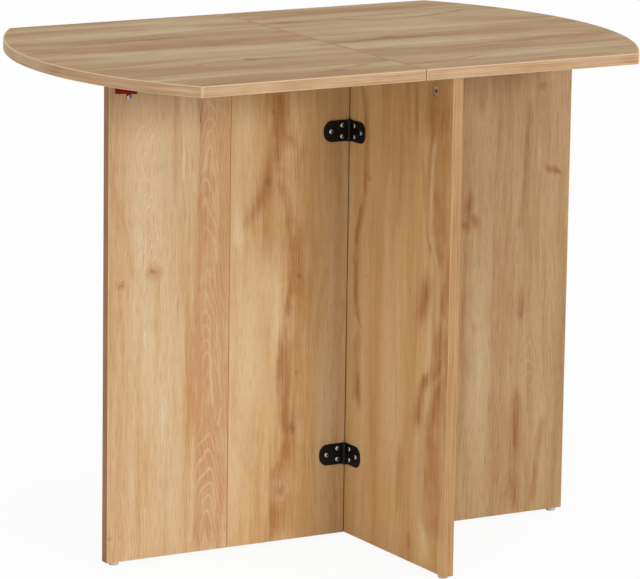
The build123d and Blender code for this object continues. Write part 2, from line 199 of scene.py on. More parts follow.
def drawn_out(tree, place, size, offset, detail=3.0):
    """Noise with patches of a size across and along."""
    wide, long = size
    scale = (1 / wide, 1 / long, 1 / wide)
    stretched = add(tree, MAPPING, {"Vector": place, "Location": offset, "Scale": scale})
    return add(tree, NOISE, {"Vector": stretched, "Scale": 1.0, "Detail": detail, "Roughness": 0.55})


def shifted(tree, place, noises, reaches):
    """The place moved to and fro by two noises, across and along, each within its reach."""
    moves = [add(tree, RANGE, (noise, 0.2, 0.8, -reach, reach), **SOFT)
             for noise, reach in zip(noises, reaches)]
    return add(tree, VECTOR, (place, add(tree, COMBINE, moves)), operation="ADD")


def mark_mask(tree, place, marks, kind, core):
    """Soft ovals for all marks of a kind, at full weight within their core. Marks are (kind, across, along,
    width, length, lean in degrees, weight)."""
    total = 0.0
    for name, across_at, along_at, width, length, lean, weight in marks:
        if name == kind:
            own = add(tree, MAPPING, {
                "Vector": place, "Location": (across_at, along_at, 0),
                "Rotation": (0, 0, math.radians(lean)), "Scale": (width / 2, length / 2, 1),
            }, vector_type="TEXTURE")
            far = add(tree, VECTOR, (own,), out="Value", operation="LENGTH")
            oval = add(tree, RANGE, (far, 1.0, core, 0.0, weight), **SOFT)
            total = add(tree, MATH, (total, oval), operation="MAXIMUM")
    return total


def band_mask(tree, place, bands, kind):
    """Bands of a kind, each along its points. Bands are (kind, weight, soft width before, soft width after,
    points across and along)."""
    parts = add(tree, SPLIT, (place,)).node.outputs
    total = 0.0
    for name, weight, before, after, points in bands:
        if name == kind:
            start, end = points[0][1], points[-1][1]
            low = min(at for at, _ in points) - CURVE_ROOM
            high = max(at for at, _ in points) + CURVE_ROOM
            course = add(tree, "ShaderNodeFloatCurve", {"Value": add(tree, RANGE, (parts["Y"], start, end))})
            bends = course.node.mapping.curves[0].points
            while len(bends) < len(points):
                bends.new(0.5, 0.5)
            for bend, (across_at, along_at) in zip(bends, points):
                bend.location = (along_at - start) / (end - start), (across_at - low) / (high - low)
            course.node.mapping.update()
            course = add(tree, RANGE, (course, 0.0, 1.0, low, high))
            off = add(tree, MATH, (parts["X"], course), operation="SUBTRACT")
            mask = weight
            for value, none_at, full_at in ((off, -before, 0.0), (off, after, 0.0),
                                            (parts["Y"], start - BAND_FADE, start + BAND_FADE),
                                            (parts["Y"], end + BAND_FADE, end - BAND_FADE)):
                side = add(tree, RANGE, (value, none_at, full_at), **SOFT)
                mask = add(tree, MATH, (mask, side), operation="MULTIPLY")
            total = add(tree, MATH, (total, mask), operation="MAXIMUM")
    return total


def tone_steps(tree, value, tones):
    """Layers that lead from the first tone to the last as the value rises. Tones are (value, colour code)."""
    steps = zip(tones, tones[1:])
    return [(add(tree, RANGE, (value, low, high), **SOFT), code) for (low, _), (high, code) in steps]


def layered(tree, base, layers):
    """Colours laid over a base one after another: (mask, colour code)."""
    look = colour(base)
    for mask, code in layers:
        look = add(tree, MIX, {SHARE: mask, UNDER: look, OVER: colour(code)}, **BLEND)
    return look


# Chipboard under melamine paper printed with oak: an even satin skin, warm long streaks with short pores in
# them, soft brown smears and knots, and a plain gloss because the grain is only printed.

# Patches of the grain, across and along. Fine lines, pores and flecks are drawn several times as wide as real
# ones, so that they show at the photo's size.
DRIFT = (110.0, 330.0)
BROAD = (42.0, 520.0)
MEDIUM = (9.0, 300.0)
FINE = (2.0, 90.0)
PORE = (1.0, 26.0)
FLECK = (1.2, 16.0)
BLOTCH = (22.0, 70.0)
COMB = (6.0, 80.0)
PATCH = (30.0, 60.0)
ARCH_WOBBLE = (36.0, 110.0)

# How far noise moves the grain and the outlines of smears and knots, across and along
SWAY = (9.0, 0.0)
RAGGED = (6.0, 16.0)
FEATHERED = (2.5, 6.0)

# Noise between the first two values shows pores and flecks, or gives smears the two weights that follow.
PORES_SHOW = (0.5, 0.68)
FLECKS_SHOW = (0.58, 0.70)
STREAK_WEIGHT = (0.7, 1.2, 1.1, 0.6)
PATCH_WEIGHT = (0.35, 0.6, 0.45, 1.0)
FLECK_LEAN = 30.0
SPOT_CORE = 0.3

# Arches: the way from one to the next, the half width over which they fall by the slope in pitches, the power
# of their curve, how many pitches they wander, and how high in a wave they begin to show
ARCH_PITCH = 30.0
ARCH_HALF_WIDTH = 26.0
ARCH_SLOPE = 3.0
ARCH_POINT = 1.6
ARCH_WANDER = 3.4
ARCH_CREST = 0.6


def arch_lines(tree, place, centre, wander):
    """Pale pointed arches, where the print shows growth rings cut flat, about a centre line."""
    parts = add(tree, SPLIT, (place,)).node.outputs
    off = add(tree, MATH, (parts["X"], centre), operation="SUBTRACT")
    off = add(tree, MATH, (off, ARCH_HALF_WIDTH), operation="DIVIDE")
    curve = add(tree, MATH, (add(tree, MATH, (off,), operation="ABSOLUTE"), ARCH_POINT), operation="POWER")
    rise = add(tree, MATH, (parts["Y"], ARCH_PITCH), operation="DIVIDE")
    rise = add(tree, MATH, (curve, ARCH_SLOPE, rise), operation="MULTIPLY_ADD")
    rise = add(tree, MATH, (wander, ARCH_WANDER, rise), operation="MULTIPLY_ADD")
    wave = add(tree, MATH, (add(tree, MATH, (rise, 2 * math.pi), operation="MULTIPLY"),), operation="SINE")
    return add(tree, RANGE, (wave, ARCH_CREST, 1.0), **SOFT)


def printed_oak(board, axes, offset, tones, marks, bands):
    """The print of a board, with its grain across and along two axes. The offset is a place in the noise."""
    made, tree = material(f"printed_oak_melamine_{board}")
    parts = add(tree, SPLIT, (millimetres(tree),)).node.outputs
    flat = add(tree, COMBINE, [parts[axis] for axis in axes])
    # The grain wanders a few millimetres to either side on its way along the board.
    drift = drawn_out(tree, flat, DRIFT, offset, detail=2.0)
    swayed = shifted(tree, flat, (drift, drift), SWAY)
    broad = drawn_out(tree, swayed, BROAD, offset, detail=2.0)
    medium = drawn_out(tree, swayed, MEDIUM, offset)
    fine = drawn_out(tree, swayed, FINE, offset)
    pores = add(tree, RANGE, (drawn_out(tree, swayed, PORE, offset, detail=1.0), *PORES_SHOW), **SOFT)
    tone = 0.0
    for noise, share in zip((broad, medium, fine), tones["shares"]):
        tone = add(tree, MATH, (noise, share, tone), operation="MULTIPLY_ADD")
    layers = tone_steps(tree, tone, tones["grain"])
    # Smears run out along the grain in streaks, knots keep a rounder outline.
    blotch = drawn_out(tree, flat, BLOTCH, offset)
    comb = drawn_out(tree, flat, COMB, offset)
    ragged = shifted(tree, flat, (blotch, comb), RAGGED)
    feathered = shifted(tree, flat, (comb, blotch), FEATHERED)
    streaky = add(tree, RANGE, (add(tree, MATH, (fine, medium), operation="ADD"), *STREAK_WEIGHT), **SOFT)
    patchy = add(tree, RANGE, (drawn_out(tree, flat, PATCH, offset), *PATCH_WEIGHT), **SOFT)
    for kind, core, place in (("shade", 0.4, ragged), ("pale", 0.0, ragged), ("heart", 0.0, feathered),
                              ("knot", 0.0, feathered)):
        if kind in tones:
            runs = add(tree, MATH, (band_mask(tree, feathered, bands, kind), patchy), operation="MULTIPLY")
            mask = add(tree, MATH, (mark_mask(tree, place, marks, kind, core), runs), operation="MAXIMUM")
            layers.append((add(tree, MATH, (mask, streaky), operation="MULTIPLY"), tones[kind]))
    if "arch" in tones:
        wobble = drawn_out(tree, flat, ARCH_WOBBLE, offset, detail=1.5)
        arches = arch_lines(tree, swayed, tones["arch_centre"], wobble)
        spots = mark_mask(tree, flat, marks, "arch", SPOT_CORE)
        layers.append((add(tree, MATH, (arches, spots), operation="MULTIPLY"), tones["arch"]))
    layers.append((add(tree, MATH, (pores, tones["pore_weight"]), operation="MULTIPLY"), tones["pore"]))
    if "ray" in tones:
        leaning = add(tree, MAPPING, {"Vector": swayed, "Rotation": (0, 0, math.radians(FLECK_LEAN))})
        flecks = add(tree, RANGE, (drawn_out(tree, leaning, FLECK, offset, detail=1.0), *FLECKS_SHOW), **SOFT)
        spots = mark_mask(tree, flat, marks, "ray", SPOT_CORE)
        layers.append((add(tree, MATH, (flecks, spots), operation="MULTIPLY"), tones["ray"]))
    add(tree, RESULT, (add(tree, SURFACE, {
        "Base Color": layered(tree, tones["grain"][0][1], layers),
        "Roughness": add(tree, RANGE, (medium, 0.3, 0.7, 0.66, 0.76), **SOFT),
        "IOR": 1.45,
        "Normal": add(tree, BUMP, {"Height": pores, "Strength": 0.12, "Distance": 0.2 * MM}, invert=True),
    }),))
    return made


# Tones of the prints: shares of broad, medium and fine grain, the grain's colours by its value, and a colour
# for every kind of mark on the board
outer_tones = {
    "shares": (0.45, 0.25, 0.30),
    "grain": [(0.34, "#B88A5A"), (0.44, "#C8A172"), (0.54, "#D2B28A"), (0.66, "#D8C09F")],
    "heart": "#B27A48", "knot": "#76502C", "pale": "#E0CBA8", "shade": "#C08F62",
    "pore": "#96602E", "pore_weight": 0.28,
    "arch": "#DCBA92", "arch_centre": -188.0, "ray": "#E6D2B0",
}
inner_tones = {
    "shares": (0.53, 0.24, 0.23),
    "grain": [(0.34, "#B88852"), (0.44, "#C79F6A"), (0.54, "#D2AE80"), (0.66, "#D8BC93")],
    "heart": "#9A622E", "knot": "#6C4424", "pale": "#E0C8A4", "shade": "#A87738",
    "pore": "#8A6038", "pore_weight": 0.22,
    "ray": "#E6D2B0",
}
cross_tones = {
    "shares": (0.57, 0.24, 0.19),
    "grain": [(0.34, "#BC8B50"), (0.44, "#CCA067"), (0.54, "#D6AE78"), (0.66, "#DEBC8C")],
    "heart": "#A2642C", "knot": "#744420", "pale": "#E8CDA0", "shade": "#A86E36",
    "pore": "#8A6038", "pore_weight": 0.2,
}
rib_tones = {
    "shares": (0.47, 0.25, 0.28),
    "grain": [(0.34, "#98714A"), (0.44, "#A98559"), (0.54, "#B6946B"), (0.66, "#BEA07B")],
    "heart": "#8F5A28", "knot": "#5E3C1A", "pale": "#C4A982", "shade": "#A0744A",
    "pore": "#78491F", "pore_weight": 0.28,
    "arch": "#BFA17E", "arch_centre": 353.0,
}
# The top's tones are darker than the panels': in part the print's own deeper colour, in part painted shade
# for the weaker light that falls on the top.
top_tones = {
    "shares": (0.57, 0.24, 0.19),
    "grain": [(0.34, "#8B623A"), (0.44, "#9D7C54"), (0.54, "#AE936E"), (0.66, "#B9A485")],
    "heart": "#784A20", "pale": "#C3B08E", "shade": "#946A40",
    "pore": "#6E4A26", "pore_weight": 0.2,
}

# Ovals: (kind, across, along, width, length, lean in degrees, weight)
outer_marks = [
    ("shade", -340, 365, 80, 1700, 0, 0.45), ("pale", -284, 300, 60, 420, 0, 0.3),
    # The wide pale oval at along 590 is painted light that lifts the shade falling under the overhanging top.
    ("pale", -280, 590, 150, 440, 0, 0.6), ("pale", -165, 205, 18, 16, 0, 0.6),
    ("heart", -277, 430, 40, 48, 0, 0.7), ("heart", -331, 415, 30, 22, -35, 0.7),
    ("knot", -279, 430, 20, 14, 10, 0.6), ("knot", -346, 45, 10, 12, 0, 0.6),
    ("knot", -330, 414, 12, 5, -40, 0.5),
    ("ray", -286, 630, 66, 120, 0, 0.8), ("ray", -286, 547, 60, 110, 0, 0.8),
    ("ray", -284, 466, 80, 100, 0, 0.8),
    ("arch", -178, 600, 76, 420, 0, 0.5), ("arch", -186, 90, 80, 300, 0, 0.6),
    ("arch", -178, 350, 66, 360, 0, 0.4),
]
inner_marks = [
    ("pale", -140, 481, 30, 90, 0, 0.8), ("pale", -116, 280, 60, 420, 0, 0.5),
    ("pale", -140, 130, 40, 260, 0, 0.4), ("pale", -90, 400, 60, 160, 0, 0.3),
    # The pale oval at along 630 is painted light that lifts the shade falling under the overhanging top.
    ("pale", -125, 630, 60, 190, 0, 0.35),
    ("heart", -76, 620, 40, 80, 0, 0.5), ("shade", -78, 500, 100, 240, 0, 0.6),
    ("knot", -82, 654, 10, 12, 0, 0.5), ("knot", -35, 403, 12, 14, 0, 0.5),
    ("knot", -36, 260, 10, 12, 0, 0.4), ("knot", -45, 174, 20, 20, 0, 0.6),
    ("knot", -62, 80, 22, 26, 0, 0.5), ("knot", -88, 548, 16, 30, -20, 0.4),
    ("ray", -110, 122, 60, 120, 0, 0.4),
]
cross_marks = [
    ("shade", -250, 680, 100, 130, 0, 0.7),
    ("pale", -50, 300, 80, 1500, 0, 0.25), ("pale", -120, 300, 60, 700, 0, 0.4),
    ("heart", -28, 425, 26, 40, 0, 0.6), ("heart", -238, 669, 40, 60, 0, 0.5),
    ("heart", -195, 30, 24, 40, 0, 0.5),
    ("knot", -67, 552, 10, 16, 0, 0.5), ("knot", -64, 406, 8, 12, 0, 0.4),
    ("knot", -27, 418, 10, 12, 0, 0.4), ("knot", -268, 677, 9, 20, 0, 0.4),
]
rib_marks = [
    ("pale", 264, 230, 60, 560, 0, 1.0), ("pale", 368, 560, 24, 60, 0, 0.5),
    ("heart", 243, 490, 30, 60, -10, 1.0), ("heart", 254, 464, 22, 40, 20, 1.0),
    ("heart", 238, 460, 26, 34, 0, 1.0), ("heart", 388, 535, 56, 20, -35, 0.9),
    ("heart", 398, 528, 24, 16, -35, 1.0), ("heart", 368, 664, 26, 22, 0, 0.6),
    ("heart", 340, 328, 26, 70, 0, 0.6), ("heart", 263, 648, 30, 80, 0, 0.5),
    ("knot", 340, 312, 10, 16, 0, 0.4), ("knot", 246, 472, 14, 24, 20, 0.4),
    ("knot", 401, 525, 11, 8, 30, 0.5),
    ("arch", 353, 258, 50, 190, 0, 0.4),
]
leaf_marks = [
    ("shade", 230, -300, 60, 460, 0, 0.5), ("heart", -114, -178, 30, 52, 0, 1.1),
    ("heart", -252, -116, 28, 56, 0, 1.0),
]
fixed_marks = [
    ("shade", 250, 200, 50, 420, 0, 0.6), ("pale", 66, 190, 120, 480, 0, 0.75),
    ("heart", -8, 113, 24, 44, 0, 1.0), ("heart", 176, 42, 34, 90, 0, 0.9),
]

# Bands: (kind, weight, soft width before, soft width after, points across and along)
outer_bands = [
    ("shade", 1.1, 8, 130, [(-212, 15), (-204, 130), (-214, 280), (-202, 445), (-204, 690)]),
    ("pale", 1.0, 5, 6, [(-230, 560), (-231, 700)]),
    ("heart", 0.5, 6, 5, [(-242, 540), (-243, 690)]),
    ("pale", 0.8, 2, 2, [(-292, 230), (-290, 600)]),
    ("shade", 0.9, 30, 6, [(-310, 420), (-318, 480), (-350, 590)]),
    ("shade", 0.7, 30, 12, [(-347, 210), (-336, 320), (-331, 390)]),
    ("knot", 0.8, 2, 2, [(-203, 605), (-200, 665)]),
    ("knot", 0.7, 2, 2, [(-245, 130), (-246, 155)]),
    ("pale", 0.6, 2, 3, [(-175, 205), (-183, 295), (-183, 350)]),
    ("pale", 0.5, 2, 2, [(-158, 220), (-171, 295), (-172, 350)]),
]
inner_bands = [
    ("heart", 0.9, 24, 22, [(-124, 490), (-86, 560), (-77, 605), (-66, 690)]),
    ("heart", 0.5, 16, 16, [(-28, 580), (-51, 603), (-68, 624)]),
    ("heart", 0.75, 8, 26, [(-60, 340), (-48, 405), (-53, 485), (-92, 555)]),
    ("heart", 0.75, 10, 28, [(-79, 5), (-75, 95), (-57, 160), (-66, 230), (-58, 340)]),
    # The band at across 28 by the corner with the cross panel is painted shade: a warm, darker stripe for the
    # shade in that corner.
    ("heart", 0.3, 12, 14, [(28, 5), (30, 300), (26, 610)]),
    ("shade", 0.8, 18, 84, [(-79, 5), (-66, 130), (-66, 230), (-52, 405), (-58, 485), (-84, 690)]),
]
cross_bands = [
    ("heart", 0.9, 16, 12, [(-48, 330), (-30, 430), (-55, 560), (-30, 690)]),
    ("heart", 0.9, 22, 16, [(-42, 210), (-37, 270), (-46, 315)]),
    ("heart", 0.4, 10, 8, [(-150, 505), (-158, 690)]),
    ("heart", 0.6, 10, 10, [(-198, 640), (-195, 706)]),
    ("heart", 0.5, 12, 12, [(-227, 540), (-212, 612)]),
    ("shade", 1.0, 90, 20, [(-252, 60), (-226, 150), (-260, 290), (-264, 440), (-240, 510), (-253, 700)]),
    ("pale", 0.65, 20, 18, [(-244, 20), (-226, 150), (-258, 285)]),
    ("pale", 0.8, 11, 10, [(-262, 365), (-264, 440), (-240, 510), (-250, 640)]),
    ("heart", 1.0, 26, 20, [(-213, 210), (-218, 250), (-255, 306)]),
    ("heart", 1.0, 26, 26, [(-214, 370), (-238, 436)]),
    ("heart", 0.6, 14, 14, [(-164, 75), (-167, 175)]),
]
rib_bands = [
    ("heart", 0.6, 8, 10, [(330, 445), (341, 530), (348, 640)]),
    ("heart", 0.5, 6, 6, [(233, 240), (240, 440)]),
    ("shade", 0.6, 8, 90, [(297, 15), (290, 250), (292, 440)]),
    ("heart", 0.9, 12, 14, [(333, 20), (333, 200)]),
    ("heart", 0.9, 12, 10, [(368, 20), (374, 80), (382, 140)]),
    ("shade", 0.4, 6, 40, [(371, 555), (366, 665)]),
]
leaf_bands = [
    ("heart", 0.7, 16, 16, [(100, -360), (107, -255), (109, -160)]),
    ("shade", 1.0, 8, 110, [(60, -445), (35, -330), (20, -130), (17, 25)]),
    ("heart", 0.6, 12, 8, [(-131, -280), (-113, -180), (-124, -105)]),
    ("shade", 0.5, 120, 10, [(-116, -460), (-131, -280), (-120, -55), (-133, 70)]),
    ("heart", 0.6, 12, 10, [(-118, -460), (-124, -340)]),
    ("heart", 0.6, 12, 10, [(-256, -140), (-201, -5)]),
    ("pale", 0.6, 40, 40, [(202, -370), (193, -265), (198, -95)]),
    ("pale", 0.6, 40, 40, [(-10, -365), (-18, -210), (-33, -30)]),
]
fixed_bands = [
    ("heart", 0.7, 14, 10, [(286, -20), (288, 110)]),
    ("heart", 0.8, 10, 8, [(208, 125), (150, 184), (149, 225), (188, 363)]),
    ("pale", 0.7, 7, 7, [(172, 205), (166, 290)]),
    ("heart", 0.9, 12, 10, [(-10, -20), (-30, 24), (-22, 75), (-26, 210)]),
    ("shade", 0.7, 14, 10, [(-26, 180), (-22, 282), (-36, 354)]),
    ("pale", 0.7, 8, 34, [(-88, -20), (-84, 190), (-92, 400)]),
    ("shade", 1.0, 80, 8, [(-110, -20), (-121, 130), (-110, 253), (-105, 416)]),
    ("heart", 0.6, 10, 8, [(-159, 117), (-143, 216)]),
    ("heart", 0.7, 10, 8, [(-238, -20), (-240, 37), (-212, 140)]),
    ("heart", 0.5, 10, 8, [(-271, 190), (-274, 333)]),
    ("pale", 0.3, 30, 30, [(-248, 70), (-224, 185), (-234, 350)]),
    ("shade", 0.6, 40, 40, [(119, 270), (91, 360), (30, 435)]),
]

materials = {
    "gate_outer_panel": printed_oak("gate_outer", "XZ", (1, 2, 3), outer_tones, outer_marks, outer_bands),
    "gate_inner_panel": printed_oak("gate_inner", "XZ", (5, 2, 3), inner_tones, inner_marks, inner_bands),
    "cross_panel": printed_oak("cross_panel", "YZ", (9, 2, 3), cross_tones, cross_marks, cross_bands),
    "rib_panel": printed_oak("rib", "XZ", (13, 2, 3), rib_tones, rib_marks, rib_bands),
    "fixed_top_board": printed_oak("fixed_top", "YX", (17, 2, 3), top_tones, fixed_marks, fixed_bands),
    "drop_leaf_board": printed_oak("drop_leaf", "YX", (21, 2, 3), top_tones, leaf_marks, leaf_bands),
}

# Plastic tape printed with oak and glued round the edges: fine streaks along it under a satin skin, a paler
# line on the rounded corners that is scraped print and painted highlight, painted shade along the gate's
# arrises and in its corner gap, and painted light in its fold gap.

# Patches, and streaks by their size along X, Y and Z, drawn a few times as wide as real ones so as to show
TAPE_PATCH = 60.0
ALONG_TOP = (150.0, 150.0, 1.8)
UPRIGHT = (1.8, 1.8, 150.0)

# Places that the lines on the tapes keep to, such as the X where the top's straight sides turn into bows, and
# how far from the middle of a board's edge a line at its corners starts and is full
TOP_MIDDLE = middle("fixed_top_board", "Z")
TOP_SIDE = extent("fixed_top_edging", "Y")[1]
BOW_START = 358.0
CROSS_MIDDLE = middle("cross_panel", "X")
RIB_MIDDLE = middle("rib_panel", "Y")
GATE_MIDDLE = middle("gate_inner_panel", "Y")
GATE_END = extent("gate_outer_edging", "X")[0]
GATE_FOLD = middle("upper_fold_hinge_pin", "X")
GATE_CORNER = extent("gate_inner_edging", "X")[1]
ARRIS = (7.0, 7.7)

# Pale tones on the rounded corners and beside the seam and bows: scraped print and painted highlight.
SCRAPED_HIGHLIGHT = "#D0B08A"
SCRAPED_END_HIGHLIGHT = "#D0AE84"
SCRAPED_CROSS_HIGHLIGHT = "#C8A278"
SEAM_TONE = "#A8845A"
# Painted light that lifts the shade in the gate's fold gap, and painted shade along the gate's arrises and in
# its corner gap.
FOLD_PAINTED_LIGHT = "#C49868"
ARRIS_PAINTED_SHADE = "#8A5C34"
CORNER_PAINTED_SHADE = "#6E441E"


def edge_mask(tree, parts, limits):
    """1 where every distance from a centre is on the full side of its limits. These are (axis, centre,
    none at, full at)."""
    total = 1.0
    for axis, centre, none_at, full_at in limits:
        away = add(tree, MATH, (parts[axis], centre), operation="SUBTRACT")
        away = add(tree, MATH, (away,), operation="ABSOLUTE")
        side = add(tree, RANGE, (away, none_at, full_at), **SOFT)
        total = add(tree, MATH, (total, side), operation="MULTIPLY")
    return total


def edge_tape(edge, streak, tones, lines):
    """Tape with streaks of a size along X, Y and Z, and lines of other tones: (limits, colour code)."""
    made, tree = material(f"oak_printed_plastic_edge_tape_{edge}")
    place = millimetres(tree)
    parts = add(tree, SPLIT, (place,)).node.outputs
    drawn = add(tree, MAPPING, {"Vector": place, "Scale": tuple(1 / size for size in streak)})
    grain = add(tree, NOISE, {"Vector": drawn, "Scale": 1.0, "Detail": 4.0, "Roughness": 0.6})
    patch = add(tree, NOISE, {"Vector": place, "Scale": 1 / TAPE_PATCH, "Detail": 2.0})
    tone = add(tree, MATH, (patch, 0.25), operation="MULTIPLY")
    tone = add(tree, MATH, (grain, 0.75, tone), operation="MULTIPLY_ADD")
    layers = tone_steps(tree, tone, tones)
    layers += [(edge_mask(tree, parts, limits), code) for limits, code in lines]
    add(tree, RESULT, (add(tree, SURFACE, {
        "Base Color": layered(tree, tones[0][1], layers),
        "Roughness": add(tree, RANGE, (grain, 0.3, 0.7, 0.54, 0.64), **SOFT),
        "IOR": 1.45,
        "Normal": add(tree, BUMP, {"Height": grain, "Strength": 0.1, "Distance": 0.1 * MM}),
    }),))
    return made


# Pale lines beside the seam and where the bows start are scraped print and painted highlight; the seam tone
# is the joint's own.
seam_lines = [
    ([("X", 0.0, 3.2, 2.8), ("Y", 0.0, TOP_SIDE - 1.6, TOP_SIDE - 2.4)], SEAM_TONE),
    ([("X", 0.0, 2.4, 1.6), ("Y", 0.0, TOP_SIDE - 2.0, TOP_SIDE - 0.8)], SCRAPED_HIGHLIGHT),
]
bow_lines = [
    ([("X", x, 2.4, 0.6), ("Y", 0.0, TOP_SIDE - 2.4, TOP_SIDE - 1.0)], SCRAPED_HIGHLIGHT)
    for x in (-BOW_START, BOW_START)
]
top_tape = edge_tape(
    "top", ALONG_TOP, [(0.32, "#9C7047"), (0.45, "#B38D65"), (0.56, "#C19E78"), (0.70, "#CDB190")],
    [([("Z", TOP_MIDDLE, 6.4, 7.4)], SCRAPED_HIGHLIGHT), *seam_lines, *bow_lines],
)
cross_tape = edge_tape(
    "cross_panel", UPRIGHT, [(0.32, "#906232"), (0.45, "#A87C4D"), (0.56, "#B48A5D"), (0.70, "#C09A70")],
    [([("X", CROSS_MIDDLE, *ARRIS)], SCRAPED_CROSS_HIGHLIGHT)],
)
rib_tape = edge_tape(
    "rib", UPRIGHT, [(0.32, "#84592F"), (0.45, "#9C7047"), (0.56, "#AA8056"), (0.70, "#B89066")],
    [([("Y", RIB_MIDDLE, *ARRIS)], SCRAPED_END_HIGHLIGHT)],
)
gate_tape = edge_tape(
    "gate", UPRIGHT, [(0.32, "#7D4F24"), (0.45, "#956538"), (0.56, "#A37346"), (0.70, "#B18354")],
    [
        # Painted shade on the arrises and in the corner gap, painted light in the fold gap, and a scraped
        # pale line with painted highlight at the outer end.
        ([("Y", GATE_MIDDLE, *ARRIS)], ARRIS_PAINTED_SHADE),
        ([("Y", GATE_MIDDLE, *ARRIS), ("X", GATE_END, 30.0, 10.0)], SCRAPED_END_HIGHLIGHT),
        ([("X", GATE_FOLD, 8.0, 6.0)], FOLD_PAINTED_LIGHT),
        ([("X", GATE_CORNER, 8.0, 6.0)], CORNER_PAINTED_SHADE),
    ],
)
materials.update({
    "fixed_top_edging": top_tape, "drop_leaf_edging": top_tape, "cross_panel_edging": cross_tape,
    "rib_panel_edging": rib_tape, "gate_inner_edging": gate_tape, "gate_outer_edging": gate_tape,
})

# Finishes of the fittings

# Painted shade laid into narrow hollows, where shadow falls.
PAINTED_RECESS_SHADE = "#2A2724"


def mottled(name, low, high, roughness, size, metallic=0.0, ior=1.5, hollow=0.0):
    """A finish whose colour and roughness lie between two values in clouds of the given size, with a faint
    unevenness. Hollows narrower than the given millimetres are painted darker: painted shade for the shadow
    that falls in them."""
    made, tree = material(name)
    cloud = add(tree, NOISE, {"Vector": millimetres(tree), "Scale": 1 / size, "Detail": 3.0})
    look = layered(tree, low, [(add(tree, RANGE, (cloud, 0.3, 0.7), **SOFT), high)])
    if hollow:
        open_share = add(tree, "ShaderNodeAmbientOcclusion", {"Distance": hollow * MM}, out="AO", samples=8,
                         only_local=True)
        recess_shade = add(tree, RANGE, (open_share, 0.55, 0.92, 1.0, 0.0), **SOFT)
        look = add(tree, MIX, {SHARE: recess_shade, UNDER: look, OVER: colour(PAINTED_RECESS_SHADE)}, **BLEND)
    add(tree, RESULT, (add(tree, SURFACE, {
        "Base Color": look,
        "Roughness": add(tree, RANGE, (cloud, 0.3, 0.7, *roughness), **SOFT),
        "Metallic": metallic,
        "IOR": ior,
        "Normal": add(tree, BUMP, {"Height": cloud, "Strength": 0.25, "Distance": 0.03 * MM}),
    }),))
    return made


# Stoved black paint on pressed steel: near black, with soft highlights along the rolled knuckles.
hinge_paint = mottled("black_lacquered_pressed_steel", "#050404", "#0D0B0A", (0.42, 0.52), 1.2, ior=1.35)
# Bright zinc plating: silvery, slightly cloudy, with painted shade in the recesses.
bright_zinc = mottled("bright_zinc_plated_steel", "#BFC2C4", "#E2E4E6", (0.32, 0.44), 0.9, metallic=1.0,
                      hollow=3.0)
# Die-cast zinc alloy: duller grey, with a cast skin, and painted shade in its hollows.
cast_zinc = mottled("die_cast_zinc_alloy", "#DAD9D6", "#EAE9E6", (0.38, 0.46), 0.8, metallic=1.0, hollow=2.0)
# Moulded nylon: pale warm grey and dull.
glide_nylon = mottled("pale_grey_moulded_nylon", "#BFB8B2", "#D2CBC6", (0.45, 0.55), 3.0)
# Moulded plastic: dark red with a satin skin.
red_moulding = mottled("dark_red_moulded_plastic", "#6A0803", "#841008", (0.55, 0.65), 4.0, ior=1.3)
# Turned beech: plain pale wood.
beech = mottled("turned_raw_beech", "#C09A6C", "#D4B080", (0.6, 0.7), 2.5)
by_slot = {
    "black_hinge": hinge_paint, "zinc_screw": bright_zinc, "cam_metal": cast_zinc, "beech_dowel": beech,
    "glide_plastic": glide_nylon, "red_plastic": red_moulding,
}
slot_of = {row["node"]: row["material_slot"] for row in frame["record"]["subparts"]}
for node_name, piece in frame["nodes"].items():
    piece.data.materials.clear()
    piece.data.materials.append(materials.get(node_name) or by_slot[slot_of[node_name]])

# Pan head screws with a cross recess, one at every seat and each turned by chance

SCREW_SIZES = {
    "Head Radius": 3.4 * MM, "Head Height": 1.4 * MM, "Shank Radius": 1.7 * MM, "Tip Radius": 0.3 * MM,
    "Screw Length": 12.5 * MM, "Recess Span": 4.0 * MM, "Recess Width": 1.8 * MM, "Recess Depth": 1.2 * MM,
}


